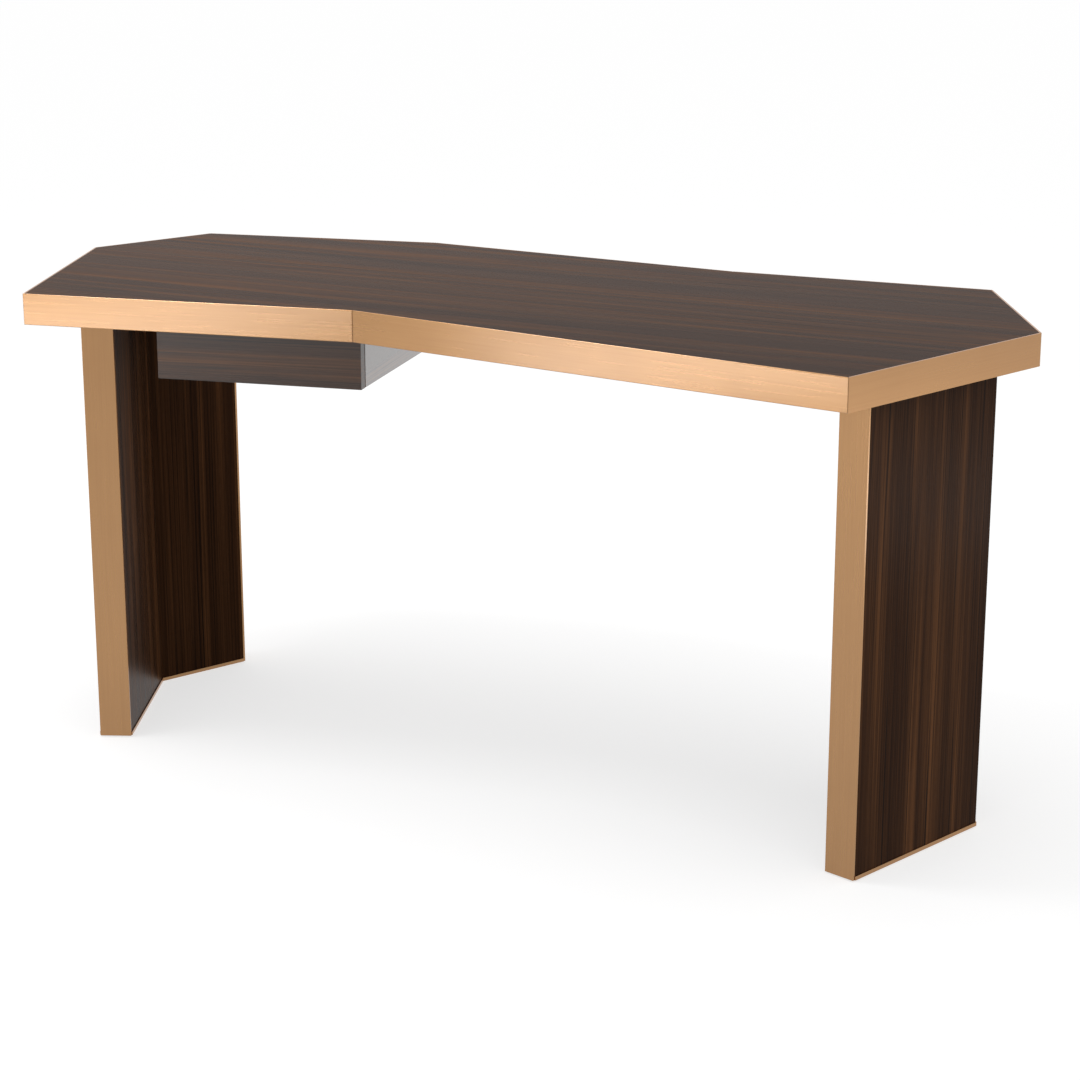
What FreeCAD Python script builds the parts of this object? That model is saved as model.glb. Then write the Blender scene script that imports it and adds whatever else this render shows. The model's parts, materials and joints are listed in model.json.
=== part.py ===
import FreeCAD, Part
import os
import Sketcher

# A faceted writing desk: a nine-sided veneered top in a brass edge band, two legs of bent plan that stand
# on brass base trims, and one drawer that hangs under the left end of the top.
# Plan coordinates run from the left-most corner (x) and from the front-most corner (y), and every piece is
# then shifted so that the origin lies on the floor, under the middle of the top.

# Driving dimensions, in millimetres
SIZES = (
    ("desk_length", "1710", "overall length of the top"),
    ("desk_depth", "750", "overall depth of the top"),
    ("desk_height", "760", "floor to writing surface"),
    ("band_height", "50", "height of the brass edge band"),
    ("band_thickness", "3", "thickness of the brass edge band"),
    ("veneer_thickness", "1.5", "thickness of the lacquered veneer sheets"),
    ("backing_thickness", "4", "thickness of the balancing sheet under the top"),
    ("leg_thickness", "52", "thickness of a leg panel with its veneers"),
    ("cap_thickness", "2", "brass cap on the end of a leg panel"),
    ("cap_return", "4", "depth of the cap seen from the side"),
    ("trim_height", "6", "height of the brass base trim"),
    ("trim_proud", "1.5", "how far the base trim stands out from the veneer"),
    ("glide_height", "2", "height of the glides under the base trim"),
    ("glide_radius", "10", "radius of a glide"),
    ("plate_overhang", "28", "how far the fixing plate reaches past the inner face of the leg"),
    ("plate_end_gap", "40", "distance of the fixing plate from the ends of the leg"),
    ("plate_fit", "0.3", "gap round the fixing plate in its recess"),
    ("screw_radius", "2.25", "shank radius of the wood screws"),
    ("screw_head_radius", "4.5", "head radius of the wood screws"),
    ("screw_head_height", "2.5", "head height of the wood screws"),
    ("screw_reach", "28", "depth of a screw in the board that it holds"),
    ("screw_fit", "0.1", "gap round a screw in its hole"),
    ("drawer_along", "193", "left end of the drawer front, along the front edge from its corner"),
    ("drawer_setback", "78", "drawer front behind the front edge of the top"),
    ("drawer_width", "345", "width of the drawer front and of its case"),
    ("drawer_front_height", "90", "height of the drawer front"),
    ("drawer_front_thickness", "18", "thickness of the drawer front"),
    ("drawer_top_gap", "2", "gap between the drawer front and the underside of the top"),
    ("drawer_press_gap", "3", "gap behind the drawer front, which lets it be pressed in"),
    ("case_thickness", "12", "thickness of the case sides and back"),
    ("case_floor_thickness", "9", "thickness of the case floor and roof"),
    ("box_depth", "350", "depth of the drawer box"),
    ("box_height", "60", "height of the drawer box"),
    ("box_thickness", "10", "thickness of the drawer box walls"),
    ("box_floor_thickness", "4", "thickness of the drawer floor"),
    ("box_lift", "4", "gap under the drawer box"),
    ("runner_depth", "12.7", "side space taken by a runner"),
    ("runner_height", "35", "height of a runner"),
    ("runner_end_gap", "38", "free space behind a runner"),
    ("runner_sheet", "1.2", "sheet thickness of the runner members"),
    ("runner_play", "0.3", "gap between the runner members"),
    ("latch_width", "22", "width of the push latch"),
    ("latch_height", "16", "height of the push latch"),
    ("latch_length", "34.4", "length of the push latch"),
    ("latch_travel", "4", "stroke of the latch plunger"),
    ("latch_end_wall", "4", "wall behind the latch bore"),
    ("plunger_radius", "4", "radius of the latch plunger"),
    ("plunger_head_radius", "5.5", "radius of the plunger's pad"),
    ("plunger_head_length", "2", "thickness of the plunger's pad"),
    ("plunger_play", "0.3", "gap round the plunger and ahead of its pad"),
)

# Corners of the top, counter-clockwise seen from above, as shares of its length and depth
TOP_CORNER_SHARES = {
    "front_left": (0.1044, 0.0),
    "front_bend": (0.4203, 0.1547),
    "front_right": (0.9186, 0.0),
    "right": (1.0, 0.568),
    "rear_right": (0.8978, 0.9877),
    "rear_bend_right": (0.641, 0.9501),
    "rear_bend_left": (0.2971, 1.0),
    "rear_left": (0.0518, 0.8744),
    "left": (0.0, 0.5711),
}

# The edge bands, named by the corner that each one starts from
BAND_NAMES = {
    "front_left": "band_front_left",
    "front_bend": "band_front_right",
    "front_right": "band_right_front",
    "right": "band_right_rear",
    "rear_right": "band_rear_right",
    "rear_bend_right": "band_rear_middle",
    "rear_bend_left": "band_rear_left",
    "rear_left": "band_left_rear",
    "left": "band_left_front",
}

# Outer face of each leg in plan, as shares of the top's length and depth
LEG_OUTER_SHARES = {
    "left_leg": {"front": (0.1364, 0.0985), "bend": (0.0601, 0.4727), "rear": (0.1046, 0.7199)},
    "right_leg": {"front": (0.9214, 0.0973), "bend": (0.9743, 0.4808), "rear": (0.9178, 0.7143)},
}

# Which way is inwards: the left leg has the desk's middle on its right hand, seen from the front end
LEG_TURN = {"left_leg": 1, "right_leg": -1}

# Screw and glide places, as shares of a leg panel's outer length from its end
FIXING_SHARES = {"front": (0.3, 0.75), "rear": (0.5,)}
GLIDE_SHARES = {"front": (0.1, 0.85), "rear": (0.15,)}

# Screw places in the case roof, as shares of the case's width and depth
CASE_SCREW_SHARES = ((0.2, 0.15), (0.8, 0.15), (0.2, 0.85), (0.8, 0.85))

# Screw places along the drawer front, as shares of its width
FRONT_SCREW_SHARES = (0.25, 0.75)

# Levels above the floor
TOP = "sizes.desk_height"
UNDERSIDE = "(sizes.desk_height - sizes.band_height)"
CORE_LOW = f"({UNDERSIDE} + sizes.backing_thickness)"
CORE_HIGH = f"({TOP} - sizes.veneer_thickness)"
TRIM_HIGH = "(sizes.glide_height + sizes.trim_height)"
FRONT_HIGH = f"({UNDERSIDE} - sizes.drawer_top_gap)"
CASE_LOW = f"({FRONT_HIGH} - sizes.drawer_front_height)"
CASE_FLOOR = f"({CASE_LOW} + sizes.case_floor_thickness)"
CASE_ROOF = f"({UNDERSIDE} - sizes.case_floor_thickness)"
BOX_LOW = f"({CASE_FLOOR} + sizes.box_lift)"
BOX_FLOOR = f"({BOX_LOW} + sizes.box_floor_thickness)"
BOX_HIGH = f"({BOX_LOW} + sizes.box_height)"
BOX_MIDDLE = f"({BOX_LOW} + sizes.box_height / 2)"
SCREW_HOLE = "sizes.screw_radius + sizes.screw_fit"
HEAD_HOLE = "sizes.screw_head_radius + sizes.screw_fit"

# Depths behind the face of the drawer front
FRONT_BACK = "sizes.drawer_front_thickness"
CASE_FRONT = f"({FRONT_BACK} + sizes.drawer_press_gap)"
BOX_BACK = f"({FRONT_BACK} + sizes.box_depth)"
BOX_FRONT_FACE = f"({FRONT_BACK} + sizes.box_thickness)"
PAD_FRONT = f"({BOX_BACK} + sizes.plunger_play)"
PAD_BACK = f"({PAD_FRONT} + sizes.plunger_head_length)"
LATCH_FRONT = f"({PAD_BACK} + sizes.latch_travel + sizes.plunger_play)"
CASE_BACK_FACE = f"({LATCH_FRONT} + sizes.latch_length)"
CASE_BACK = f"({CASE_BACK_FACE} + sizes.case_thickness)"
CASE_DEPTH = f"({CASE_BACK} - {CASE_FRONT})"
RUNNER_BACK = f"({CASE_BACK_FACE} - sizes.runner_end_gap)"
LATCH_BORE_END = f"({CASE_BACK_FACE} - sizes.latch_end_wall)"
PLUNGER_BACK = f"({LATCH_BORE_END} - sizes.latch_travel - sizes.plunger_play)"

# Widths across the drawer
CASE_RIGHT = "sizes.drawer_width"
INSIDE_LEFT = "sizes.case_thickness"
INSIDE_RIGHT = "(sizes.drawer_width - sizes.case_thickness)"
BOX_LEFT = f"({INSIDE_LEFT} + sizes.runner_depth)"
BOX_RIGHT = f"({INSIDE_RIGHT} - sizes.runner_depth)"
BOX_INNER_LEFT = f"({BOX_LEFT} + sizes.box_thickness)"
BOX_INNER_RIGHT = f"({BOX_RIGHT} - sizes.box_thickness)"
MIDDLE = "sizes.drawer_width / 2"

doc = FreeCAD.newDocument("writing_desk")
sizes = doc.addObject("Spreadsheet::Sheet", "sizes")
layout = doc.addObject("Spreadsheet::Sheet", "layout")
pieces = []


def fill_sizes():
    """Put each driving dimension in a cell of its own, with its note beside it."""
    for row, (alias, value, note) in enumerate(SIZES, start=1):
        sizes.set(f"A{row}", value)
        sizes.setAlias(f"A{row}", alias)
        sizes.set(f"B{row}", note)


class Layout:
    """Plan places worked out from the driving dimensions, one formula cell each."""

    def __init__(self):
        self.row = 0

    def add(self, alias, formula):
        self.row += 1
        layout.set(f"A{self.row}", f"={formula}")
        layout.setAlias(f"A{self.row}", alias)

    def point(self, name, shares):
        along_share, back_share = shares
        self.add(f"{name}_x", f"sizes.desk_length * {along_share}")
        self.add(f"{name}_y", f"sizes.desk_depth * {back_share}")

    def direction(self, name, start, end):
        """Length and unit vector of the line from one point to another."""
        run = f"({end}_x - {start}_x)"
        rise = f"({end}_y - {start}_y)"
        self.add(f"{name}_span", f"sqrt({run} * {run} + {rise} * {rise})")
        self.add(f"{name}_ux", f"{run} / {name}_span")
        self.add(f"{name}_uy", f"{rise} / {name}_span")

    def mitre(self, name, first, second):
        """The step that a corner takes when both faces beside it move inwards by one."""
        spread = f"(1 + {first}_nx * {second}_nx + {first}_ny * {second}_ny)"
        self.add(f"{name}_mx", f"({first}_nx + {second}_nx) / {spread}")
        self.add(f"{name}_my", f"({first}_ny + {second}_ny) / {spread}")


def fill_layout():
    """Work out the plan of the top, the legs and the drawer."""
    plan = Layout()
    corners = list(TOP_CORNER_SHARES)
    for corner in corners:
        plan.point(corner, TOP_CORNER_SHARES[corner])
    for corner, after in zip(corners, corners[1:] + corners[:1]):
        plan.direction(f"{corner}_edge", corner, after)
        plan.add(f"{corner}_edge_nx", f"-{corner}_edge_uy")
        plan.add(f"{corner}_edge_ny", f"{corner}_edge_ux")
    for before, corner in zip(corners[-1:] + corners[:-1], corners):
        plan.mitre(corner, f"{before}_edge", f"{corner}_edge")
    for leg, places in LEG_OUTER_SHARES.items():
        for place, shares in places.items():
            plan.point(f"{leg}_{place}", shares)
        for end, turn in (("front", LEG_TURN[leg]), ("rear", -LEG_TURN[leg])):
            panel = f"{leg}_{end}"
            plan.direction(panel, panel, f"{leg}_bend")
            plan.add(f"{panel}_nx", f"{turn} * {panel}_uy")
            plan.add(f"{panel}_ny", f"{-turn} * {panel}_ux")
        plan.mitre(f"{leg}_bend", f"{leg}_front", f"{leg}_rear")
    edge = "front_left_edge"
    for axis in ("x", "y"):
        plan.add(f"drawer_{axis}", f"front_left_{axis} + sizes.drawer_along * {edge}_u{axis}"
                                   f" + sizes.drawer_setback * {edge}_n{axis}")
    plan.add("drawer_angle", f"atan2({edge}_uy; {edge}_ux)")


def top_point(corner, inset):
    """A corner of the top, with the edges beside it moved inwards."""
    return tuple(f"layout.{corner}_{axis} + ({inset}) * layout.{corner}_m{axis}" for axis in ("x", "y"))


def top_outline(inset):
    return [top_point(corner, inset) for corner in TOP_CORNER_SHARES]


def leg_point(leg, end, along, across):
    """A place on a leg panel: along it from its free end, and across it from its outer face."""
    panel = f"layout.{leg}_{end}"
    return tuple(f"{panel}_{axis} + ({along}) * {panel}_u{axis} + ({across}) * {panel}_n{axis}"
                 for axis in ("x", "y"))


def leg_bend(leg, across):
    bend = f"layout.{leg}_bend"
    return tuple(f"{bend}_{axis} + ({across}) * {bend}_m{axis}" for axis in ("x", "y"))


def leg_strip(leg, along, outer, inner):
    """The bent strip between two depths in a leg, stopped short of both its ends."""
    return [leg_point(leg, "front", along, outer), leg_bend(leg, outer), leg_point(leg, "rear", along, outer),
            leg_point(leg, "rear", along, inner), leg_bend(leg, inner), leg_point(leg, "front", along, inner)]


def leg_places(leg, shares, across):
    return [leg_point(leg, end, f"{share} * layout.{leg}_{end}_span", across)
            for end in shares for share in shares[end]]


def drawer_point(across, back):
    """A place in the drawer's own plan, given in the plan of the desk."""
    edge = "layout.front_left_edge"
    return tuple(f"layout.drawer_{axis} + ({across}) * {edge}_u{axis} + ({back}) * {edge}_n{axis}"
                 for axis in ("x", "y"))


def rectangle(left, right, low, high):
    return [(left, low), (right, low), (right, high), (left, high)]


def new_piece(label, in_drawer_plan=False):
    """An empty body, placed in the desk's plan or in the drawer's own turned plan."""
    body = doc.addObject("PartDesign::Body", label)
    body.Label = label
    base_x = "-sizes.desk_length / 2"
    base_y = "-sizes.desk_depth / 2"
    if in_drawer_plan:
        base_x = f"layout.drawer_x {base_x}"
        base_y = f"layout.drawer_y {base_y}"
        body.setExpression("Placement.Rotation.Angle", "layout.drawer_angle")
    body.setExpression("Placement.Base.x", base_x)
    body.setExpression("Placement.Base.y", base_y)
    pieces.append(body)
    return body


def bind(sketch, kind, edge, point, text):
    """Hold one coordinate of a sketch point by a formula."""
    value = float(sketch.evalExpression(text))
    index = sketch.addConstraint(Sketcher.Constraint(kind, -1, 1, edge, point, value))
    sketch.setExpression(f"Constraints[{index}]", text)


def add_loop(sketch, points):
    """A closed outline of straight edges, with every corner held."""
    corners = [FreeCAD.Vector(float(sketch.evalExpression(x)), float(sketch.evalExpression(y)), 0)
               for x, y in points]
    first = sketch.GeometryCount
    count = len(corners)
    for i in range(count):
        sketch.addGeometry(Part.LineSegment(corners[i], corners[(i + 1) % count]))
    for i in range(count):
        sketch.addConstraint(Sketcher.Constraint("Coincident", first + i, 2, first + (i + 1) % count, 1))
    for i, (x, y) in enumerate(points):
        bind(sketch, "DistanceX", first + i, 1, x)
        bind(sketch, "DistanceY", first + i, 1, y)


def add_circles(sketch, centres, radius):
    size = float(sketch.evalExpression(radius))
    for x, y in centres:
        centre = FreeCAD.Vector(float(sketch.evalExpression(x)), float(sketch.evalExpression(y)), 0)
        edge = sketch.addGeometry(Part.Circle(centre, FreeCAD.Vector(0, 0, 1), size))
        bind(sketch, "DistanceX", edge, 3, x)
        bind(sketch, "DistanceY", edge, 3, y)
        index = sketch.addConstraint(Sketcher.Constraint("Radius", edge, size))
        sketch.setExpression(f"Constraints[{index}]", radius)


def new_sketch(body, role, level):
    """A sketch on one of the body's own planes, moved along that plane's normal."""
    sketch = body.newObject("Sketcher::SketchObject", f"{body.Label}_sketch")
    plane = next(item for item in body.Origin.OriginFeatures if item.Role == role)
    sketch.AttachmentSupport = [(plane, "")]
    sketch.MapMode = "FlatFace"
    sketch.setExpression("AttachmentOffset.Base.z", level)
    return sketch


def draw(sketch, loops, circles):
    for loop in loops:
        add_loop(sketch, loop)
    for centres, radius in circles:
        add_circles(sketch, centres, radius)


def raise_up(body, low, high, loops=(), circles=()):
    """Pad plan outlines from one level to another. A circle inside an outline is a hole."""
    sketch = new_sketch(body, "XY_Plane", low)
    draw(sketch, loops, circles)
    pad = body.newObject("PartDesign::Pad", f"{body.Label}_pad")
    pad.Profile = sketch
    pad.setExpression("Length", f"({high}) - ({low})")


def bore_down(body, low, high, circles):
    """Cut round holes from the upper level down to the lower one."""
    sketch = new_sketch(body, "XY_Plane", high)
    draw(sketch, (), circles)
    pocket = body.newObject("PartDesign::Pocket", f"{body.Label}_bore")
    pocket.Profile = sketch
    pocket.setExpression("Length", f"({high}) - ({low})")


def run_back(body, front, back, loops=(), circles=()):
    """Pad a section that is drawn across the drawer, from one depth back to another."""
    sketch = new_sketch(body, "XZ_Plane", f"-({front})")
    draw(sketch, loops, circles)
    pad = body.newObject("PartDesign::Pad", f"{body.Label}_pad")
    pad.Profile = sketch
    pad.Reversed = True
    pad.setExpression("Length", f"({back}) - ({front})")


def bore_back(body, front, back, circles):
    """Cut round holes from the front depth back to the rear one."""
    sketch = new_sketch(body, "XZ_Plane", f"-({front})")
    draw(sketch, (), circles)
    pocket = body.newObject("PartDesign::Pocket", f"{body.Label}_bore")
    pocket.Profile = sketch
    pocket.setExpression("Length", f"({back}) - ({front})")


def fixing_across():
    """Depths in a leg of the screws down into the panel and of those up into the top."""
    down = "sizes.leg_thickness / 2"
    up = "sizes.leg_thickness + sizes.plate_overhang / 2"
    return down, up


def all_places(shares, across):
    places = []
    for leg in LEG_OUTER_SHARES:
        places += leg_places(leg, shares, across)
    return places


def case_screw_places():
    return [drawer_point(f"{across_share} * sizes.drawer_width",
                         f"{CASE_FRONT} + {back_share} * {CASE_DEPTH}")
            for across_share, back_share in CASE_SCREW_SHARES]


def make_top():
    """The veneered board, with pilot holes for what hangs from it, and the mitred bands round it."""
    up = fixing_across()[1]
    screw_top = f"{CORE_LOW} + sizes.screw_reach"
    core = new_piece("top_core")
    raise_up(core, CORE_LOW, CORE_HIGH, [top_outline("sizes.band_thickness")])
    pilots = all_places(FIXING_SHARES, up) + case_screw_places()
    bore_down(core, CORE_LOW, screw_top, [(pilots, SCREW_HOLE)])
    veneer = new_piece("top_veneer")
    raise_up(veneer, CORE_HIGH, TOP, [top_outline("sizes.band_thickness")])
    backing = new_piece("top_backing")
    recesses = [plate_outline(leg, "sizes.plate_fit") for leg in LEG_OUTER_SHARES]
    raise_up(backing, UNDERSIDE, CORE_LOW, [top_outline("sizes.band_thickness")] + recesses,
             [(case_screw_places(), SCREW_HOLE)])
    corners = list(TOP_CORNER_SHARES)
    for corner, after in zip(corners, corners[1:] + corners[:1]):
        band = new_piece(BAND_NAMES[corner])
        outline = [top_point(corner, "0"), top_point(after, "0"),
                   top_point(after, "sizes.band_thickness"), top_point(corner, "sizes.band_thickness")]
        raise_up(band, UNDERSIDE, TOP, [outline])


def plate_outline(leg, growth):
    """The fixing plate over a leg, or its recess when it is grown by the gap round it."""
    return leg_strip(leg, f"sizes.plate_end_gap - {growth}", f"sizes.veneer_thickness - {growth}",
                     f"sizes.leg_thickness + sizes.plate_overhang + {growth}")


def make_leg(leg):
    """One leg: two mitred panels with their veneers, caps, base trim, fixing plate, screws and glides."""
    core_outer = "sizes.veneer_thickness"
    core_inner = "(sizes.leg_thickness - sizes.veneer_thickness)"
    down, up = fixing_across()
    for end in ("front", "rear"):
        panel = new_piece(f"{leg}_{end}_panel")
        outline = [leg_point(leg, end, "sizes.cap_thickness", core_outer), leg_bend(leg, core_outer),
                   leg_bend(leg, core_inner), leg_point(leg, end, "sizes.cap_thickness", core_inner)]
        raise_up(panel, TRIM_HIGH, UNDERSIDE, [outline])
        holes = leg_places(leg, {end: FIXING_SHARES[end]}, down)
        bore_down(panel, f"{UNDERSIDE} - sizes.screw_reach", UNDERSIDE, [(holes, SCREW_HOLE)])
        cap = new_piece(f"{leg}_{end}_cap")
        section = [("0", "0"), ("0", "sizes.leg_thickness"), ("sizes.cap_return", "sizes.leg_thickness"),
                   ("sizes.cap_return", core_inner), ("sizes.cap_thickness", core_inner),
                   ("sizes.cap_thickness", core_outer), ("sizes.cap_return", core_outer),
                   ("sizes.cap_return", "0")]
        raise_up(cap, "sizes.glide_height", UNDERSIDE,
                 [[leg_point(leg, end, along, across) for along, across in section]])
    outer = new_piece(f"{leg}_outer_veneer")
    raise_up(outer, TRIM_HIGH, UNDERSIDE, [leg_strip(leg, "sizes.cap_return", "0", core_outer)])
    inner = new_piece(f"{leg}_inner_veneer")
    raise_up(inner, TRIM_HIGH, UNDERSIDE,
             [leg_strip(leg, "sizes.cap_return", core_inner, "sizes.leg_thickness")])
    trim = new_piece(f"{leg}_base_trim")
    trim_inner = "sizes.leg_thickness + sizes.trim_proud"
    raise_up(trim, "sizes.glide_height", TRIM_HIGH,
             [leg_strip(leg, "sizes.cap_return", "-sizes.trim_proud", trim_inner)])
    glides = new_piece(f"{leg}_glides")
    raise_up(glides, "0", "sizes.glide_height",
             circles=[(leg_places(leg, GLIDE_SHARES, down), "sizes.glide_radius")])
    plate = new_piece(f"{leg}_fixing_plate")
    down_places = leg_places(leg, FIXING_SHARES, down)
    up_places = leg_places(leg, FIXING_SHARES, up)
    raise_up(plate, UNDERSIDE, CORE_LOW, [plate_outline(leg, "0")], [(down_places + up_places, SCREW_HOLE)])
    bore_down(plate, f"{CORE_LOW} - sizes.screw_head_height", CORE_LOW, [(down_places, HEAD_HOLE)])
    screws = new_piece(f"{leg}_fixing_screws")
    raise_up(screws, f"{UNDERSIDE} - sizes.screw_reach", f"{CORE_LOW} - sizes.screw_head_height",
             circles=[(down_places, "sizes.screw_radius")])
    raise_up(screws, f"{CORE_LOW} - sizes.screw_head_height", CORE_LOW,
             circles=[(down_places, "sizes.screw_head_radius")])
    raise_up(screws, UNDERSIDE, f"{CORE_LOW} + sizes.screw_reach",
             circles=[(up_places, "sizes.screw_radius")])
    raise_up(screws, f"{UNDERSIDE} - sizes.screw_head_height", UNDERSIDE,
             circles=[(up_places, "sizes.screw_head_radius")])


def make_board(label, left, right, front, back, low, high):
    board = new_piece(label, in_drawer_plan=True)
    raise_up(board, low, high, [rectangle(left, right, front, back)])
    return board


def make_case():
    """The fixed case that carries the drawer, screwed up into the top through its roof."""
    make_board("case_left_side", "0", INSIDE_LEFT, CASE_FRONT, CASE_BACK, CASE_LOW, UNDERSIDE)
    make_board("case_right_side", INSIDE_RIGHT, CASE_RIGHT, CASE_FRONT, CASE_BACK, CASE_LOW, UNDERSIDE)
    make_board("case_floor", INSIDE_LEFT, INSIDE_RIGHT, CASE_FRONT, CASE_BACK, CASE_LOW, CASE_FLOOR)
    make_board("case_back", INSIDE_LEFT, INSIDE_RIGHT, CASE_BACK_FACE, CASE_BACK, CASE_FLOOR, CASE_ROOF)
    roof = new_piece("case_roof")
    outline = [drawer_point(across, back)
               for across, back in rectangle(INSIDE_LEFT, INSIDE_RIGHT, CASE_FRONT, CASE_BACK)]
    raise_up(roof, CASE_ROOF, UNDERSIDE, [outline], [(case_screw_places(), SCREW_HOLE)])
    screws = new_piece("case_screws")
    raise_up(screws, CASE_ROOF, f"{CORE_LOW} + sizes.screw_reach",
             circles=[(case_screw_places(), "sizes.screw_radius")])
    raise_up(screws, f"{CASE_ROOF} - sizes.screw_head_height", CASE_ROOF,
             circles=[(case_screw_places(), "sizes.screw_head_radius")])


def make_drawer():
    """The drawer: its front, its box, and the two screws that hold them together."""
    screw_places = [(f"{share} * sizes.drawer_width", BOX_MIDDLE) for share in FRONT_SCREW_SHARES]
    screw_tip = f"({FRONT_BACK} - sizes.drawer_front_thickness * 2 / 3)"
    face = make_board("drawer_front", "0", CASE_RIGHT, "0", FRONT_BACK, CASE_LOW, FRONT_HIGH)
    bore_back(face, screw_tip, FRONT_BACK, [(screw_places, SCREW_HOLE)])
    inner_front = new_piece("drawer_box_front", in_drawer_plan=True)
    run_back(inner_front, FRONT_BACK, BOX_FRONT_FACE,
             [rectangle(BOX_INNER_LEFT, BOX_INNER_RIGHT, BOX_FLOOR, BOX_HIGH)], [(screw_places, SCREW_HOLE)])
    make_board("drawer_left_side", BOX_LEFT, BOX_INNER_LEFT, FRONT_BACK, BOX_BACK, BOX_FLOOR, BOX_HIGH)
    make_board("drawer_right_side", BOX_INNER_RIGHT, BOX_RIGHT, FRONT_BACK, BOX_BACK, BOX_FLOOR, BOX_HIGH)
    make_board("drawer_back", BOX_INNER_LEFT, BOX_INNER_RIGHT, f"{BOX_BACK} - sizes.box_thickness", BOX_BACK,
               BOX_FLOOR, BOX_HIGH)
    make_board("drawer_floor", BOX_LEFT, BOX_RIGHT, FRONT_BACK, BOX_BACK, BOX_LOW, BOX_FLOOR)
    screws = new_piece("drawer_front_screws", in_drawer_plan=True)
    run_back(screws, screw_tip, BOX_FRONT_FACE, circles=[(screw_places, "sizes.screw_radius")])
    run_back(screws, BOX_FRONT_FACE, f"{BOX_FRONT_FACE} + sizes.screw_head_height",
             circles=[(screw_places, "sizes.screw_head_radius")])


def channel(web_near, web_far, lip, drop):
    """Section of a runner member: a web with a flange at its top and bottom, both reaching to the lip."""
    low = f"({BOX_MIDDLE} - sizes.runner_height / 2 + {drop})"
    high = f"({BOX_MIDDLE} + sizes.runner_height / 2 - {drop})"
    sheet = "sizes.runner_sheet"
    return [(web_near, low), (lip, low), (lip, f"{low} + {sheet}"), (web_far, f"{low} + {sheet}"),
            (web_far, f"{high} - {sheet}"), (lip, f"{high} - {sheet}"), (lip, high), (web_near, high)]


def make_runner(side):
    """A telescopic runner of three nested channels between the case and the drawer box."""
    base, sign = (INSIDE_LEFT, "+") if side == "left" else (INSIDE_RIGHT, "-")
    sheet = "sizes.runner_sheet"
    depth = "sizes.runner_depth"
    step = f"({sheet} + sizes.runner_play)"
    sections = {
        "outer": ("0", sheet, f"{depth} - {step}", "0"),
        "middle": (step, f"{step} + {sheet}", f"{depth} - {step}", step),
        "inner": (depth, f"{depth} - {sheet}", f"2 * {step}", f"2 * {step}"),
    }
    for member, (near, far, lip, drop) in sections.items():
        piece = new_piece(f"{side}_runner_{member}", in_drawer_plan=True)
        places = [f"{base} {sign} ({place})" for place in (near, far, lip)]
        run_back(piece, CASE_FRONT, RUNNER_BACK, [channel(*places, drop)])


def make_latch():
    """The push latch on the case back, with the sprung plunger that pushes the drawer out."""
    centre = [(MIDDLE, BOX_MIDDLE)]
    body = new_piece("latch_body", in_drawer_plan=True)
    half_width = "sizes.latch_width / 2"
    half_height = "sizes.latch_height / 2"
    outline = rectangle(f"{MIDDLE} - {half_width}", f"{MIDDLE} + {half_width}",
                        f"{BOX_MIDDLE} - {half_height}", f"{BOX_MIDDLE} + {half_height}")
    run_back(body, LATCH_FRONT, CASE_BACK_FACE, [outline])
    bore_back(body, LATCH_FRONT, LATCH_BORE_END, [(centre, "sizes.plunger_radius + sizes.plunger_play")])
    plunger = new_piece("latch_plunger", in_drawer_plan=True)
    run_back(plunger, PAD_FRONT, PAD_BACK, circles=[(centre, "sizes.plunger_head_radius")])
    run_back(plunger, PAD_BACK, PLUNGER_BACK, circles=[(centre, "sizes.plunger_radius")])


def export_pieces():
    """Stop at any object that failed, then write one file for each piece."""
    for item in doc.Objects:
        if "Invalid" in item.State or "Error" in item.State:
            raise RuntimeError(f"{item.Label} failed: {item.State}")
    for piece in pieces:
        if piece.Shape.isNull() or not piece.Shape.isValid():
            raise RuntimeError(f"{piece.Label} has no valid shape")
    os.makedirs("parts", exist_ok=True)
    for piece in pieces:
        piece.Shape.exportStep(os.path.join("parts", f"{piece.Label}.step"))
        print(piece.Label, len(piece.Shape.Solids), round(piece.Shape.Volume))


fill_sizes()
doc.recompute()
fill_layout()
doc.recompute()
make_top()
for leg_name in LEG_OUTER_SHARES:
    make_leg(leg_name)
make_case()
make_drawer()
for side_name in ("left", "right"):
    make_runner(side_name)
make_latch()
doc.recompute()
export_pieces()
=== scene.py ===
"""Looks of a faceted writing desk: brushed brass, dark straight-grained veneer, and a plain studio."""

import json
import math

import bpy
from bpy.props import FloatProperty, FloatVectorProperty, PointerProperty
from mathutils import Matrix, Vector

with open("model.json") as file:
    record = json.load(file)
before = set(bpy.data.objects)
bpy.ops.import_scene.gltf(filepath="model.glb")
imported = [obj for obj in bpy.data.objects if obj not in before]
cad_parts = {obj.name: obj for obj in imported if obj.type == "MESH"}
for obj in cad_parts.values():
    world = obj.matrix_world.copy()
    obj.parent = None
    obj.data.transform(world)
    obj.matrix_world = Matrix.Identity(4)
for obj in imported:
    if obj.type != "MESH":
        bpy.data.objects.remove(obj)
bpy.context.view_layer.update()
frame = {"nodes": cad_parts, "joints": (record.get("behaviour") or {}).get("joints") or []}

bl_info = {
    "name": "Faceted writing desk",
    "version": (1, 0, 0),
    "blender": (4, 5, 0),
    "location": "View3D > Sidebar > Desk",
    "description": "Finishes the pieces of a writing desk and sets up its studio",
    "category": "Object",
}

LEGS = ("left_leg", "right_leg")
BANDS = sorted(name for name in frame["nodes"] if name.startswith("band_"))
# The drawer slides along this direction, so its front is square to it
DRAWER_OUT = Vector(next(joint["axis"] for joint in frame["joints"] if joint["name"] == "drawer_slide"))
DRAWER_TURN = math.atan2(DRAWER_OUT.x, -DRAWER_OUT.y)
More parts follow.
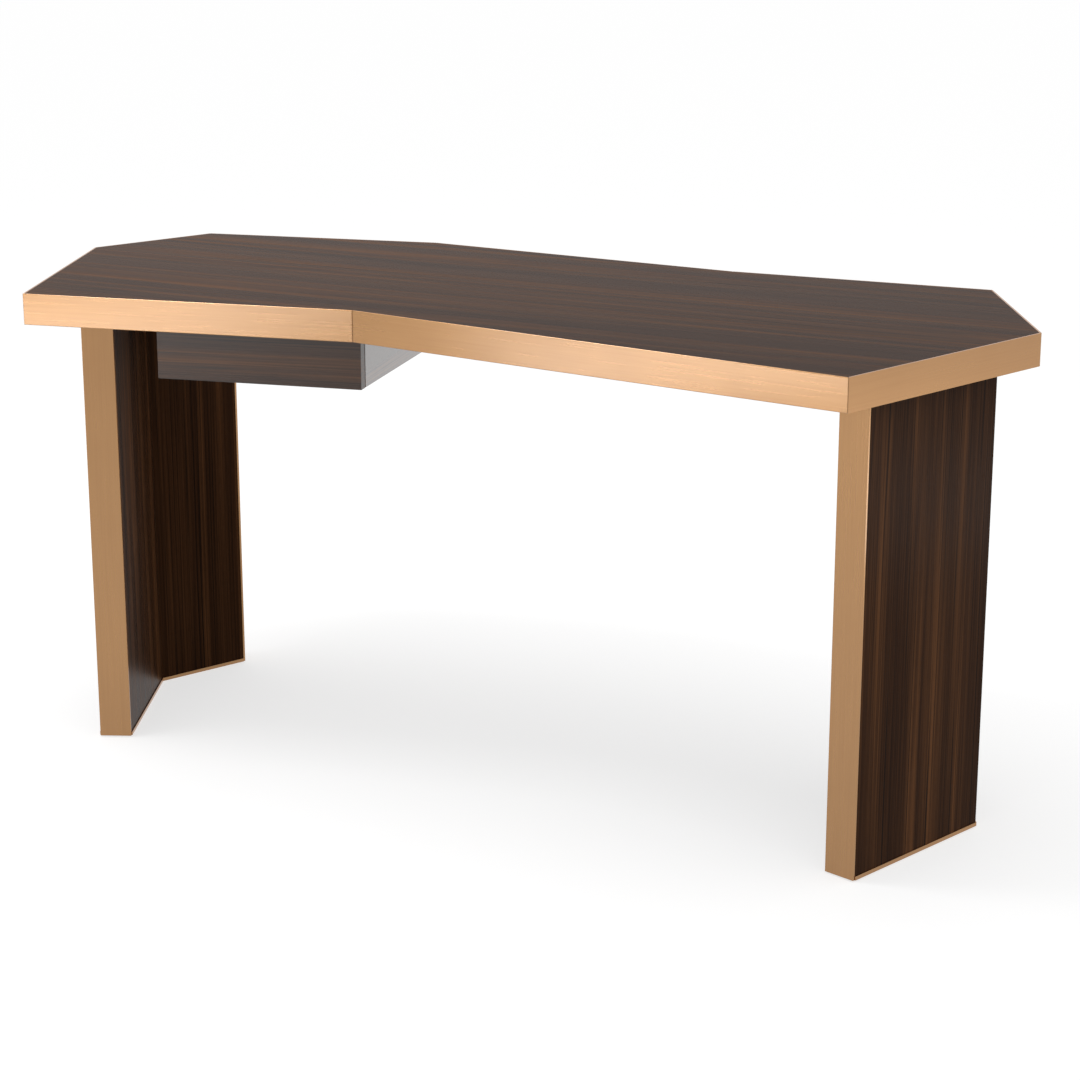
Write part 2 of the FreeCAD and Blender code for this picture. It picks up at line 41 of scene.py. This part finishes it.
# Noise levels between which each mark of the veneer comes in
STRIPE_LEVELS = (0.36, 0.70)
BUNDLE_LEVELS = (0.42, 0.68)
STREAK_LEVELS = (0.40, 0.66)
FIBRE_LEVELS = (0.35, 0.70)
LINE_LEVELS = (0.54, 0.70)
PORE_LEVELS = (0.60, 0.74)
# The same for the brushing and the clouds of the brass, and for the mottle of a plain board
BRUSH_LEVELS = (0.35, 0.72)
CLOUD_LEVELS = (0.42, 0.75)
MOTTLE_LEVELS = (0.3, 0.7)
# How often a pattern changes in each metre: the grain's drift and pores, then the plain finishes
DRIFT_ALONG = 1.1
DRIFT_ACROSS = 2.4
PORES_ALONG = 28.0
MOTTLES = 90.0
FLECKS = 700.0
ROLLS_ALONG = 14.0
ROLLS_ACROSS = 900.0
SPANGLES = 160.0
PLASTIC_GRAINS = 1800.0
PLASTIC_BLUSHES = 60.0
# Depth of the relief of each finish
PORE_DEPTH = 0.0002
BRUSH_DEPTH = 0.00015
FLECK_DEPTH = 0.0002
ROLL_DEPTH = 0.0001
PLASTIC_DEPTH = 0.0001
# How far across the sheet of veneer the right leg and the drawer front are cut
LEG_CUT = 0.37
FRONT_CUT = 0.2
# Corners of a solid that are closer than this are one corner
SAME_CORNER = 0.00001
# Edges that turn by more than this are broken, in this many steps
SHARP_TURN = math.radians(12.0)
EDGE_STEPS = 3
# Width of the camera's square frame in millimetres
FRAME_WIDTH = 36.0
# The rays that see the white of the studio
SEEN_BY = ("Camera", "Glossy", "Transmission")
BLACK = (0.0, 0.0, 0.0)


def tone(label, text, default):
    return FloatVectorProperty(name=label, description=text, subtype="COLOR", size=3, min=0.0, max=1.0,
                               default=default)


def length(label, text, default):
    return FloatProperty(name=label, description=text, subtype="DISTANCE", unit="LENGTH", default=default)


def share(label, text, default):
    return FloatProperty(name=label, description=text, subtype="FACTOR", min=0.0, max=1.0, default=default)


def angle(label, text, degrees):
    return FloatProperty(name=label, description=text, subtype="ANGLE", default=math.radians(degrees))


def power(label, text, default):
    return FloatProperty(name=label, description=text, subtype="POWER", unit="POWER", default=default)


def spot(label, text, default):
    return FloatVectorProperty(name=label, description=text, subtype="TRANSLATION", unit="LENGTH", size=3,
                               default=default)


def sides(label, text, default):
    return FloatVectorProperty(name=label, description=text, unit="LENGTH", size=2, default=default)


class DeskBrass(bpy.types.PropertyGroup):
    """Finish of the edge bands, the leg caps and the base trims."""

    metal_color: tone("Metal", "Brushed brass", (0.364, 0.181, 0.057))
    tarnish_color: tone("Tarnish", "Brown that settles in the brushing", (0.250, 0.110, 0.026))
    glancing_color: tone("Glancing", "Tint of the brass at glancing angles", (0.80, 0.45, 0.20))
    roughness: share("Roughness", "Mean roughness of the brushing", 0.29)
    brush_pitch: length("Brush pitch", "Spacing of the brush lines", 0.0007)
    brush_run: length("Brush run", "Length of one brush line", 0.16)
    cloud_size: length("Cloud size", "Size of the soft patches in the finish", 0.16)
    brush_share: share("Brush share", "Tarnish in the brush lines", 0.14)
    cloud_share: share("Cloud share", "Tarnish in the soft patches", 0.16)
    brush_relief: share("Brush relief", "Strength of the relief of the brush lines", 0.06)


class DeskVeneer(bpy.types.PropertyGroup):
    """Grain and lacquer of the veneer."""

    ground_color: tone("Ground", "Dark brown ground of the veneer", (0.0340, 0.0122, 0.0045))
    streak_color: tone("Streak", "Brown of the streaks", (0.2300, 0.0960, 0.0360))
    line_color: tone("Line", "Near-black of the fine lines and pores", (0.0040, 0.0018, 0.0012))
    stripe_width: length("Stripe width", "Width of the wide soft stripes", 0.048)
    bundle_width: length("Bundle width", "Width of the scattered bundles of brown streaks", 0.030)
    streak_width: length("Streak width", "Width of one streak in a bundle", 0.0055)
    line_width: length("Line width", "Width of the dark lines", 0.0038)
    fibre_width: length("Fibre width", "Width of the fine fibres", 0.0016)
    pore_width: length("Pore width", "Width of the open pores", 0.0009)
    stripe_run: length("Stripe run", "Length over which a stripe keeps its tone", 1.6)
    wander: length("Wander", "How far the grain wanders sideways", 0.010)
    stripe_share: share("Stripe share", "Brown in the wide stripes", 0.14)
    bundle_share: share("Bundle share", "Part of a streak's brown that lies between the streaks", 0.20)
    streak_share: share("Streak share", "Brown in the bundled streaks", 0.80)
    fibre_share: share("Fibre share", "Brown in the fine fibres", 0.20)
    line_share: share("Line share", "Darkness of the lines", 0.80)
    pore_share: share("Pore share", "Darkness of the pores", 0.40)
    roughness: share("Roughness", "Roughness of the satin lacquer", 0.30)


class DeskBoards(bpy.types.PropertyGroup):
    """Plain boards that carry the veneer, and the stained boards of the drawer."""

    core_color: tone("Core", "Raw panel core", (0.36, 0.25, 0.16))
    core_deep_color: tone("Core, deep", "Darker flecks of the core", (0.24, 0.16, 0.10))
    backing_color: tone("Backing", "Painted sheet under the top", (0.030, 0.022, 0.019))
    backing_deep_color: tone("Backing, deep", "Darker flecks of the backing", (0.018, 0.013, 0.011))
    stain_color: tone("Stain", "Stained board of the drawer box", (0.052, 0.034, 0.026))
    stain_deep_color: tone("Stain, deep", "Darker flecks of the stained board", (0.030, 0.019, 0.014))
    core_roughness: share("Core roughness", "Mean roughness of the core", 0.8)
    backing_roughness: share("Backing roughness", "Mean roughness of the backing", 0.6)
    stain_roughness: share("Stain roughness", "Mean roughness of the stained board", 0.5)


class DeskHardware(bpy.types.PropertyGroup):
    """Plated steel and moulded plastic."""

    steel_color: tone("Steel", "Bright spangles of the plating", (0.62, 0.62, 0.63))
    steel_deep_color: tone("Steel, deep", "Grey spangles of the plating", (0.44, 0.45, 0.47))
    steel_roughness: share("Steel roughness", "Mean roughness of the plating", 0.32)
    glide_color: tone("Glide", "Nylon of the glides", (0.030, 0.030, 0.031))
    latch_color: tone("Latch", "Plastic of the push latch", (0.060, 0.060, 0.064))
    plastic_roughness: share("Plastic roughness", "Mean roughness of the nylon and the plastic", 0.52)


class DeskEdges(bpy.types.PropertyGroup):
    """Widths of the broken edges."""

    band: length("Band", "Broken edge on the edge bands", 0.0011)
    metal: length("Metal", "Broken edge on the caps and trims", 0.0005)
    board: length("Board", "Broken edge on veneered boards", 0.0006)
    sheet: length("Sheet", "Broken edge on thin sheets, steel and plastic", 0.0002)


class DeskStudio(bpy.types.PropertyGroup):
    """Camera, floor and light."""

    eye: spot("Camera", "Place of the camera", (1.9045, -3.5792, 1.480))
    tilt: angle("Tilt", "How far the camera looks down", 15.6)
    heading: angle("Heading", "How far the camera turns to the left", 27.34)
    lens: FloatProperty(name="Lens", description="Focal length in millimetres", unit="CAMERA", default=85.67)
    view_depth: length("View depth", "How far the camera sees", 200.0)
    floor_size: length("Floor", "Side of the floor", 80.0)
    floor_color: tone("Floor tone", "Pale floor", (0.42, 0.42, 0.42))
    floor_lift: share("Floor lift", "White added to the floor where it is seen", 0.66)
    horizon: share("Horizon", "Light from the sides of the studio", 0.34)
    zenith: FloatProperty(name="Zenith", description="Light from the ceiling of the studio", default=1.25)
    overhead_spot: spot("Overhead place", "Place of the softbox above", (-0.5, 0.4, 3.2))
    overhead_sides: sides("Overhead size", "Sides of the softbox above", (2.8, 2.0))
    overhead_power: power("Overhead power", "Power of the softbox above", 16.0)
    edge_spot: spot("Edge place", "Place of the small softbox that lights the edges", (-1.37, -0.87, 3.2))
    edge_sides: sides("Edge size", "Sides of the small softbox", (0.8, 0.8))
    edge_power: power("Edge power", "Power of the small softbox", 26.0)
    front_card_spot: spot("Front card place", "Place of the low bright card in front", (-1.47, -3.7, 0.03))
    front_card_sides: sides("Front card size", "Sides of the front card", (1.16, 2.5))
    front_card_power: power("Front card power", "Power of the front card", 44.0)
    front_card_swing: angle("Front card swing", "How far the front card is swung round", 33.5)
    side_card_spot: spot("Side card place", "Place of the low bright card at the right", (2.42, 1.02, 0.03))
    side_card_sides: sides("Side card size", "Sides of the side card", (0.8, 0.8))
    side_card_power: power("Side card power", "Power of the side card", 5.0)


class Wire:
    """A socket in a node tree. Arithmetic on it adds Math nodes."""

    def __init__(self, nodes, socket):
        self.nodes = nodes
        self.socket = socket

    def maths(self, operation, first, second):
        return self.nodes.add("ShaderNodeMath", {"operation": operation}, {0: first, 1: second})

    def __add__(self, other):
        return self.maths("ADD", self, other)

    __radd__ = __add__

    def __sub__(self, other):
        return self.maths("SUBTRACT", self, other)

    def __rsub__(self, other):
        return self.maths("SUBTRACT", other, self)

    def __mul__(self, other):
        return self.maths("MULTIPLY", self, other)

    __rmul__ = __mul__


class Nodes:
    """A node tree that is being filled."""

    def __init__(self, tree):
        self.tree = tree

    def add(self, kind, settings=None, inputs=None, output=0):
        """Any node: its settings are set first, then the values or links of its sockets."""
        node = self.tree.nodes.new(kind)
        for name, value in (settings or {}).items():
            setattr(node, name, value)
        for name, value in (inputs or {}).items():
            if isinstance(value, Wire):
                self.tree.links.new(value.socket, node.inputs[name])
            else:
                node.inputs[name].default_value = value
        return Wire(self, node.outputs[output])

    def seen(self):
        """1 for the rays that see the white of the studio, 0 for those that only carry light."""
        rays = (self.add("ShaderNodeLightPath", output=f"Is {ray} Ray") for ray in SEEN_BY)
        return sum(rays, start=0.0)


class Finish(Nodes):
    """One material that is being made: its shader and the patterns that feed it."""

    def __init__(self, name, **constants):
        self.material = bpy.data.materials.new(name)
        self.material.use_nodes = True
        super().__init__(self.material.node_tree)
        self.shader = next(node for node in self.tree.nodes if node.type == "BSDF_PRINCIPLED")
        for socket, value in constants.items():
            self.shader.inputs[socket.replace("_", " ")].default_value = value

    def place(self, turn=0.0):
        """Coordinates in metres, turned about the vertical so that X runs along the piece."""
        coordinates = self.add("ShaderNodeTexCoord", output="Object")
        return self.add("ShaderNodeVectorRotate", {"rotation_type": "Z_AXIS"},
                        {"Vector": coordinates, "Angle": -turn})

    def shift(self, place, offset):
        return self.add("ShaderNodeVectorMath", {"operation": "ADD"}, {0: place, 1: offset})

    def noise(self, place, scale, detail=2.0, roughness=0.5):
        """Soft noise from 0 to 1, stretched by a scale for each axis."""
        stretched = self.add("ShaderNodeVectorMath", {"operation": "MULTIPLY"}, {0: place, 1: scale})
        return self.add("ShaderNodeTexNoise", {}, {"Vector": stretched, "Scale": 1.0, "Detail": detail,
                                                   "Roughness": roughness}, "Fac")

    def band(self, value, levels):
        """0 below the low level, 1 above the high one, smooth between."""
        low, high = levels
        return self.add("ShaderNodeMapRange", {"interpolation_type": "SMOOTHSTEP"},
                        {"Value": value, "From Min": low, "From Max": high}, "Result")

    def mix(self, factor, first, second):
        """A colour between two colours."""
        return self.add("ShaderNodeMix", {"data_type": "RGBA"},
                        {0: factor, 6: with_alpha(first), 7: with_alpha(second)}, 2)

    def sheen(self, mean, *swings):
        """Roughness about a mean. Each pattern comes with how far it moves the roughness in all."""
        lowest = mean - sum(swing for pattern, swing in swings) / 2
        return sum((pattern * swing for pattern, swing in swings), start=lowest)

    def bump(self, height, strength, depth):
        normal = self.add("ShaderNodeBump", {}, {"Strength": strength, "Distance": depth, "Height": height})
        self.feed(Normal=normal)

    def feed(self, **wires):
        for socket, wire in wires.items():
            self.tree.links.new(wire.socket, self.shader.inputs[socket.replace("_", " ")])


def with_alpha(color):
    """A colour as its socket takes it. A wire is one already."""
    return color if isinstance(color, Wire) else (*color, 1.0)


def even(scale):
    return (scale, scale, scale)


def grained(along, across, grain):
    """Scale for each axis: slow along the grain, fine on the other two."""
    return tuple(along if axis == grain else across for axis in "XYZ")


def veneer(name, grain, turn=0.0, gloss=1.12, coat=0.0, light=1.0, figure=1.0, relief=0.10, haze=0.12,
           offset=(0.0, 0.0, 0.0)):
    """Dark veneer whose straight grain runs along one axis, under a satin or a polished lacquer.

    Light scales its colours, figure the share of brown in it, and haze blurs its polish. The offset
    picks the stretch of grain that the piece is cut from.
    """
    look = bpy.context.scene.desk_veneer
    finish = Finish(name, IOR=gloss, Coat_Weight=coat, Coat_Roughness=haze, Coat_IOR=1.5)
    straight = finish.shift(finish.place(turn), offset)
    drift = finish.noise(straight, grained(DRIFT_ALONG, DRIFT_ACROSS, grain), detail=1.0) - 0.5
    push = finish.add("ShaderNodeVectorMath", {"operation": "SCALE"},
                      {0: grained(0.0, look.wander, grain), "Scale": drift * 2.0})
    place = finish.shift(straight, push)

    def marks(width, haste, detail=2.0, roughness=0.5):
        """Noise drawn out along the grain. The more haste, the sooner it changes along it."""
        return finish.noise(place, grained(haste / look.stripe_run, 1.0 / width, grain), detail, roughness)

    stripes = marks(look.stripe_width, 1.0, roughness=0.55)
    bundles = marks(look.bundle_width, 0.8, detail=1.0)
    streaks = marks(look.streak_width, 1.4, roughness=0.6)
    lines = marks(look.line_width, 1.7, roughness=0.65)
    fibres = marks(look.fibre_width, 5.0, roughness=0.6)
    pores = finish.noise(place, grained(PORES_ALONG, 1.0 / look.pore_width, grain), detail=1.0)
    streaked = finish.band(streaks, STREAK_LEVELS) * (1.0 - look.bundle_share) + look.bundle_share
    bundled = finish.band(bundles, BUNDLE_LEVELS) * streaked
    brown = (finish.band(stripes, STRIPE_LEVELS) * look.stripe_share + bundled * look.streak_share
             + finish.band(fibres, FIBRE_LEVELS) * look.fibre_share)
    tint = finish.mix(brown * figure, [light * part for part in look.ground_color],
                      [light * part for part in look.streak_color])
    tint = finish.mix(finish.band(lines, LINE_LEVELS) * look.line_share, tint, look.line_color)
    tint = finish.mix(finish.band(pores, PORE_LEVELS) * look.pore_share, tint, look.line_color)
    finish.feed(Base_Color=tint, Roughness=finish.sheen(look.roughness, (bundled, 0.06)))
    finish.bump(pores * -0.6 + fibres * 0.4, relief, PORE_DEPTH)
    return finish.material


def brass(name, brush):
    """Brushed brass under lacquer. The brush lines run flat round the bands, or up and down the caps."""
    look = bpy.context.scene.desk_brass
    finish = Finish(name, Metallic=1.0, Specular_Tint=with_alpha(look.glancing_color), Coat_Weight=1.0,
                    Coat_Roughness=0.15, Coat_IOR=1.6)
    place = finish.place()
    run = 1.0 / look.brush_run
    pitch = 1.0 / look.brush_pitch
    fine_scale, coarse_scale = (
        (run, run, lines) if brush == "flat" else (lines, lines, run) for lines in (pitch, pitch / 4.0))
    fine = finish.noise(place, fine_scale, roughness=0.6)
    coarse = finish.noise(place, coarse_scale, roughness=0.6)
    clouds = finish.noise(place, even(1.0 / look.cloud_size), detail=3.0, roughness=0.55)
    tarnish = (finish.band(coarse, BRUSH_LEVELS) * look.brush_share
               + finish.band(clouds, CLOUD_LEVELS) * look.cloud_share)
    finish.feed(Base_Color=finish.mix(tarnish, look.metal_color, look.tarnish_color),
                Roughness=finish.sheen(look.roughness, (coarse, 0.10), (clouds, 0.06)))
    finish.bump(fine * 0.6 + coarse * 0.4, look.brush_relief, BRUSH_DEPTH)
    return finish.material


def plain_board(name, color, deep_color, roughness):
    """Dull board, paint or dark stain, with a faint mottled face."""
    finish = Finish(name)
    place = finish.place()
    mottle = finish.noise(place, even(MOTTLES), detail=4.0, roughness=0.65)
    flecks = finish.noise(place, even(FLECKS))
    deep = finish.band(mottle, MOTTLE_LEVELS) * 0.6 + flecks * 0.4
    finish.feed(Base_Color=finish.mix(deep, color, deep_color),
                Roughness=finish.sheen(roughness, (mottle, 0.12)))
    finish.bump(flecks, 0.15, FLECK_DEPTH)
    return finish.material


def plated_steel(name):
    """Zinc-plated steel with a faint rolled grain along the drawer's travel."""
    look = bpy.context.scene.desk_hardware
    finish = Finish(name, Metallic=1.0)
    place = finish.place(DRAWER_TURN)
    rolled = finish.noise(place, grained(ROLLS_ALONG, ROLLS_ACROSS, "Y"), detail=3.0, roughness=0.6)
    spangle = finish.noise(place, even(SPANGLES), detail=3.0, roughness=0.6)
    finish.feed(Base_Color=finish.mix(spangle, look.steel_color, look.steel_deep_color),
                Roughness=finish.sheen(look.steel_roughness, (rolled, 0.14), (spangle, 0.10)))
    finish.bump(rolled, 0.08, ROLL_DEPTH)
    return finish.material


def moulded(name, color):
    """Fine-textured moulded plastic."""
    look = bpy.context.scene.desk_hardware
    finish = Finish(name, IOR=1.46)
    place = finish.place()
    texture = finish.noise(place, even(PLASTIC_GRAINS))
    blush = finish.noise(place, even(PLASTIC_BLUSHES))
    lighter = [min(1.0, part * 1.5) for part in color]
    finish.feed(Base_Color=finish.mix(blush, color, lighter),
                Roughness=finish.sheen(look.plastic_roughness, (texture, 0.12)))
    finish.bump(texture, 0.10, PLASTIC_DEPTH)
    return finish.material


def flat_faces():
    """The node group that shades faces flat, so that a board or a band reflects as a true plane."""
    group = bpy.data.node_groups.get("flat faces")
    if group is None:
        group = bpy.data.node_groups.new("flat faces", "GeometryNodeTree")
        for way in ("INPUT", "OUTPUT"):
            group.interface.new_socket("Geometry", in_out=way, socket_type="NodeSocketGeometry")
        nodes = Nodes(group)
        solid = nodes.add("NodeGroupInput")
        flat = nodes.add("GeometryNodeSetShadeSmooth", {}, {"Geometry": solid, "Shade Smooth": False})
        group.links.new(flat.socket, group.nodes.new("NodeGroupOutput").inputs[0])
    return group


def dress(node, material, edge, flat=True):
    """Give a solid its finish, join its split corners and break its sharp edges."""
    piece = frame["nodes"][node]
    for slot in piece.material_slots:
        slot.material = material
    if flat:
        piece.modifiers.new("flat faces", "NODES").node_group = flat_faces()
    weld = piece.modifiers.new("joined corners", "WELD")
    weld.merge_threshold = SAME_CORNER
    bevel = piece.modifiers.new("broken edges", "BEVEL")
    bevel.width = edge
    bevel.segments = EDGE_STEPS
    bevel.limit_method = "ANGLE"
    bevel.angle_limit = SHARP_TURN
    bevel.harden_normals = not flat


class DESK_OT_dress_top(bpy.types.Operator):
    """Finish the veneered top, its core and its backing"""

    bl_idname = "desk.dress_top"
    bl_label = "Dress top"

    def execute(self, context):
        edge = context.scene.desk_edges.sheet
        boards = context.scene.desk_boards
        face = veneer("top veneer", "X", gloss=1.044, light=0.72, figure=0.6)
        core = plain_board("panel core", boards.core_color, boards.core_deep_color, boards.core_roughness)
        backing = plain_board("backing sheet", boards.backing_color, boards.backing_deep_color,
                              boards.backing_roughness)
        dress("top_veneer", face, edge)
        dress("top_core", core, edge)
        dress("top_backing", backing, edge)
        return {"FINISHED"}


class DESK_OT_dress_bands(bpy.types.Operator):
    """Finish the mitred brass bands round the top"""

    bl_idname = "desk.dress_bands"
    bl_label = "Dress edge bands"

    def execute(self, context):
        metal = brass("band brass", "flat")
        for band in BANDS:
            dress(band, metal, context.scene.desk_edges.band)
        return {"FINISHED"}


class DESK_OT_dress_legs(bpy.types.Operator):
    """Finish the leg panels, their veneers, caps, base trims and glides"""

    bl_idname = "desk.dress_legs"
    bl_label = "Dress legs"

    def execute(self, context):
        edges = context.scene.desk_edges
        cap = brass("cap brass", "upright")
        trim = brass("trim brass", "flat")
        core = bpy.data.materials["panel core"]
        glide = moulded("glide nylon", context.scene.desk_hardware.glide_color)
        for leg in LEGS:
            face = veneer(f"{leg} veneer", "Z", gloss=1.09, offset=(LEG_CUT * LEGS.index(leg), 0.0, 0.0))
            for side in ("outer", "inner"):
                dress(f"{leg}_{side}_veneer", face, edges.sheet)
            for end in ("front", "rear"):
                dress(f"{leg}_{end}_panel", core, edges.sheet)
                dress(f"{leg}_{end}_cap", cap, edges.metal)
            dress(f"{leg}_base_trim", trim, edges.metal)
            dress(f"{leg}_glides", glide, edges.sheet, flat=False)
        return {"FINISHED"}


class DESK_OT_dress_drawer(bpy.types.Operator):
    """Finish the drawer case, the drawer and its front"""

    bl_idname = "desk.dress_drawer"
    bl_label = "Dress drawer"

    def execute(self, context):
        edges = context.scene.desk_edges
        boards = context.scene.desk_boards
        front = veneer("drawer front veneer", "X", DRAWER_TURN, gloss=1.35, coat=0.3, relief=0.0, haze=0.28,
                       offset=(0.0, 0.0, FRONT_CUT))
        # Light 2.0 doubles the case veneer's colours. That is painted light lifting the case out of the
        # shade under the top. Gloss and coat are its real polish.
        polish = {"gloss": 1.8, "coat": 1.0, "light": 2.0, "relief": 0.0}
        case = veneer("drawer case veneer", "Y", DRAWER_TURN, **polish)
        case_back = veneer("drawer case back veneer", "X", DRAWER_TURN, **polish)
        stained = plain_board("stained board", boards.stain_color, boards.stain_deep_color,
                              boards.stain_roughness)
        dress("drawer_front", front, edges.board)
        for piece in ("left_side", "right_side", "floor"):
            dress(f"case_{piece}", case, edges.board)
        dress("case_back", case_back, edges.board)
        dress("case_roof", stained, edges.sheet)
        for piece in ("box_front", "left_side", "right_side", "back", "floor"):
            dress(f"drawer_{piece}", stained, edges.board)
        return {"FINISHED"}


class DESK_OT_dress_hardware(bpy.types.Operator):
    """Finish the runners, the push latch, the fixing plates and the screws"""

    bl_idname = "desk.dress_hardware"
    bl_label = "Dress hardware"

    def execute(self, context):
        edge = context.scene.desk_edges.sheet
        steel = plated_steel("plated steel")
        for side in ("left", "right"):
            for member in ("outer", "middle", "inner"):
                dress(f"{side}_runner_{member}", steel, edge)
        for leg in LEGS:
            dress(f"{leg}_fixing_plate", steel, edge)
            dress(f"{leg}_fixing_screws", steel, edge, flat=False)
        dress("case_screws", steel, edge, flat=False)
        dress("drawer_front_screws", steel, edge, flat=False)
        latch = moulded("latch plastic", context.scene.desk_hardware.latch_color)
        dress("latch_body", latch, edge)
        dress("latch_plunger", latch, edge, flat=False)
        return {"FINISHED"}


class DESK_OT_set_studio(bpy.types.Operator):
    """Lay the floor and place the camera and the lights"""

    bl_idname = "desk.set_studio"
    bl_label = "Set studio"

    def execute(self, context):
        studio = context.scene.desk_studio
        self.lay_floor(context, studio)
        self.light_world(context, studio)
        self.hang_light(context, "overhead softbox", studio.overhead_spot, studio.overhead_sides,
                        studio.overhead_power)
        self.hang_light(context, "edge softbox", studio.edge_spot, studio.edge_sides, studio.edge_power)
        self.hang_light(context, "front card", studio.front_card_spot, studio.front_card_sides,
                        studio.front_card_power, upward=True, swing=studio.front_card_swing)
        self.hang_light(context, "side card", studio.side_card_spot, studio.side_card_sides,
                        studio.side_card_power, upward=True)
        self.set_camera(context, studio)
        return {"FINISHED"}

    def lay_floor(self, context, studio):
        """A wide pale floor that looks white."""
        half = studio.floor_size / 2
        corners = [(-half, -half, 0.0), (half, -half, 0.0), (half, half, 0.0), (-half, half, 0.0)]
        mesh = bpy.data.meshes.new("floor")
        mesh.from_pydata(corners, [], [(0, 1, 2, 3)])
        floor = bpy.data.objects.new("floor", mesh)
        context.scene.collection.objects.link(floor)
        finish = Finish("floor", Base_Color=with_alpha(studio.floor_color), Roughness=0.9,
                        Emission_Strength=1.0, Specular_IOR_Level=0.0)
        finish.feed(Emission_Color=finish.mix(finish.seen(), BLACK, even(studio.floor_lift)))
        mesh.materials.append(finish.material)

    def light_world(self, context, studio):
        """Sky light that is dim at the sides and bright overhead, and plain white where it is seen."""
        world = bpy.data.worlds.new("studio")
        world.use_nodes = True
        nodes = Nodes(world.node_tree)
        direction = nodes.add("ShaderNodeTexCoord", output="Generated")
        height = nodes.add("ShaderNodeSeparateXYZ", {}, {0: direction}, "Z")
        light = height * height * (studio.zenith - studio.horizon) + studio.horizon
        level = light + nodes.seen() * (1.0 - light)
        background = next(node for node in nodes.tree.nodes if node.type == "BACKGROUND")
        background.inputs["Color"].default_value = (1.0, 1.0, 1.0, 1.0)
        nodes.tree.links.new(level.socket, background.inputs["Strength"])
        context.scene.world = world

    def hang_light(self, context, name, place, size, strength, upward=False, swing=0.0):
        """A soft rectangle of light that faces the floor or the ceiling."""
        lamp = bpy.data.lights.new(name, "AREA")
        lamp.shape = "RECTANGLE"
        lamp.size, lamp.size_y = size
        lamp.energy = strength
        light = bpy.data.objects.new(name, lamp)
        light.location = place
        light.rotation_euler = (math.pi if upward else 0.0, 0.0, swing)
        context.scene.collection.objects.link(light)

    def set_camera(self, context, studio):
        camera = bpy.data.cameras.new("desk camera")
        camera.lens = studio.lens
        camera.sensor_width = FRAME_WIDTH
        camera.clip_end = studio.view_depth
        eye = bpy.data.objects.new("desk camera", camera)
        eye.location = studio.eye
        eye.rotation_euler = (math.pi / 2 - studio.tilt, 0.0, studio.heading)
        context.scene.collection.objects.link(eye)
        context.scene.camera = eye
        context.scene.view_settings.view_transform = "Standard"


OPERATORS = (DESK_OT_dress_top, DESK_OT_dress_bands, DESK_OT_dress_legs, DESK_OT_dress_drawer,
             DESK_OT_dress_hardware, DESK_OT_set_studio)
GROUPS = {
    "desk_brass": DeskBrass,
    "desk_veneer": DeskVeneer,
    "desk_boards": DeskBoards,
    "desk_hardware": DeskHardware,
    "desk_edges": DeskEdges,
    "desk_studio": DeskStudio,
}


class DESK_PT_panel(bpy.types.Panel):
    """Lists the steps that dress the desk"""

    bl_label = "Writing desk"
    bl_idname = "DESK_PT_panel"
    bl_space_type = "VIEW_3D"
    bl_region_type = "UI"
    bl_category = "Desk"

    def draw(self, context):
        for operator in OPERATORS:
            self.layout.operator(operator.bl_idname)
        for group, kind in GROUPS.items():
            box = self.layout.box()
            for setting in kind.__annotations__:
                box.prop(getattr(context.scene, group), setting)


def register():
    for kind in (*GROUPS.values(), *OPERATORS, DESK_PT_panel):
        bpy.utils.register_class(kind)
    for group, kind in GROUPS.items():
        setattr(bpy.types.Scene, group, PointerProperty(type=kind))


def unregister():
    for group in GROUPS:
        delattr(bpy.types.Scene, group)
    for kind in (DESK_PT_panel, *reversed(OPERATORS), *GROUPS.values()):
        bpy.utils.unregister_class(kind)


def main():
    register()
    bpy.ops.desk.dress_top()
    bpy.ops.desk.dress_bands()
    bpy.ops.desk.dress_legs()
    bpy.ops.desk.dress_drawer()
    bpy.ops.desk.dress_hardware()
    bpy.ops.desk.set_studio()


if __name__ == "__main__":
    main()
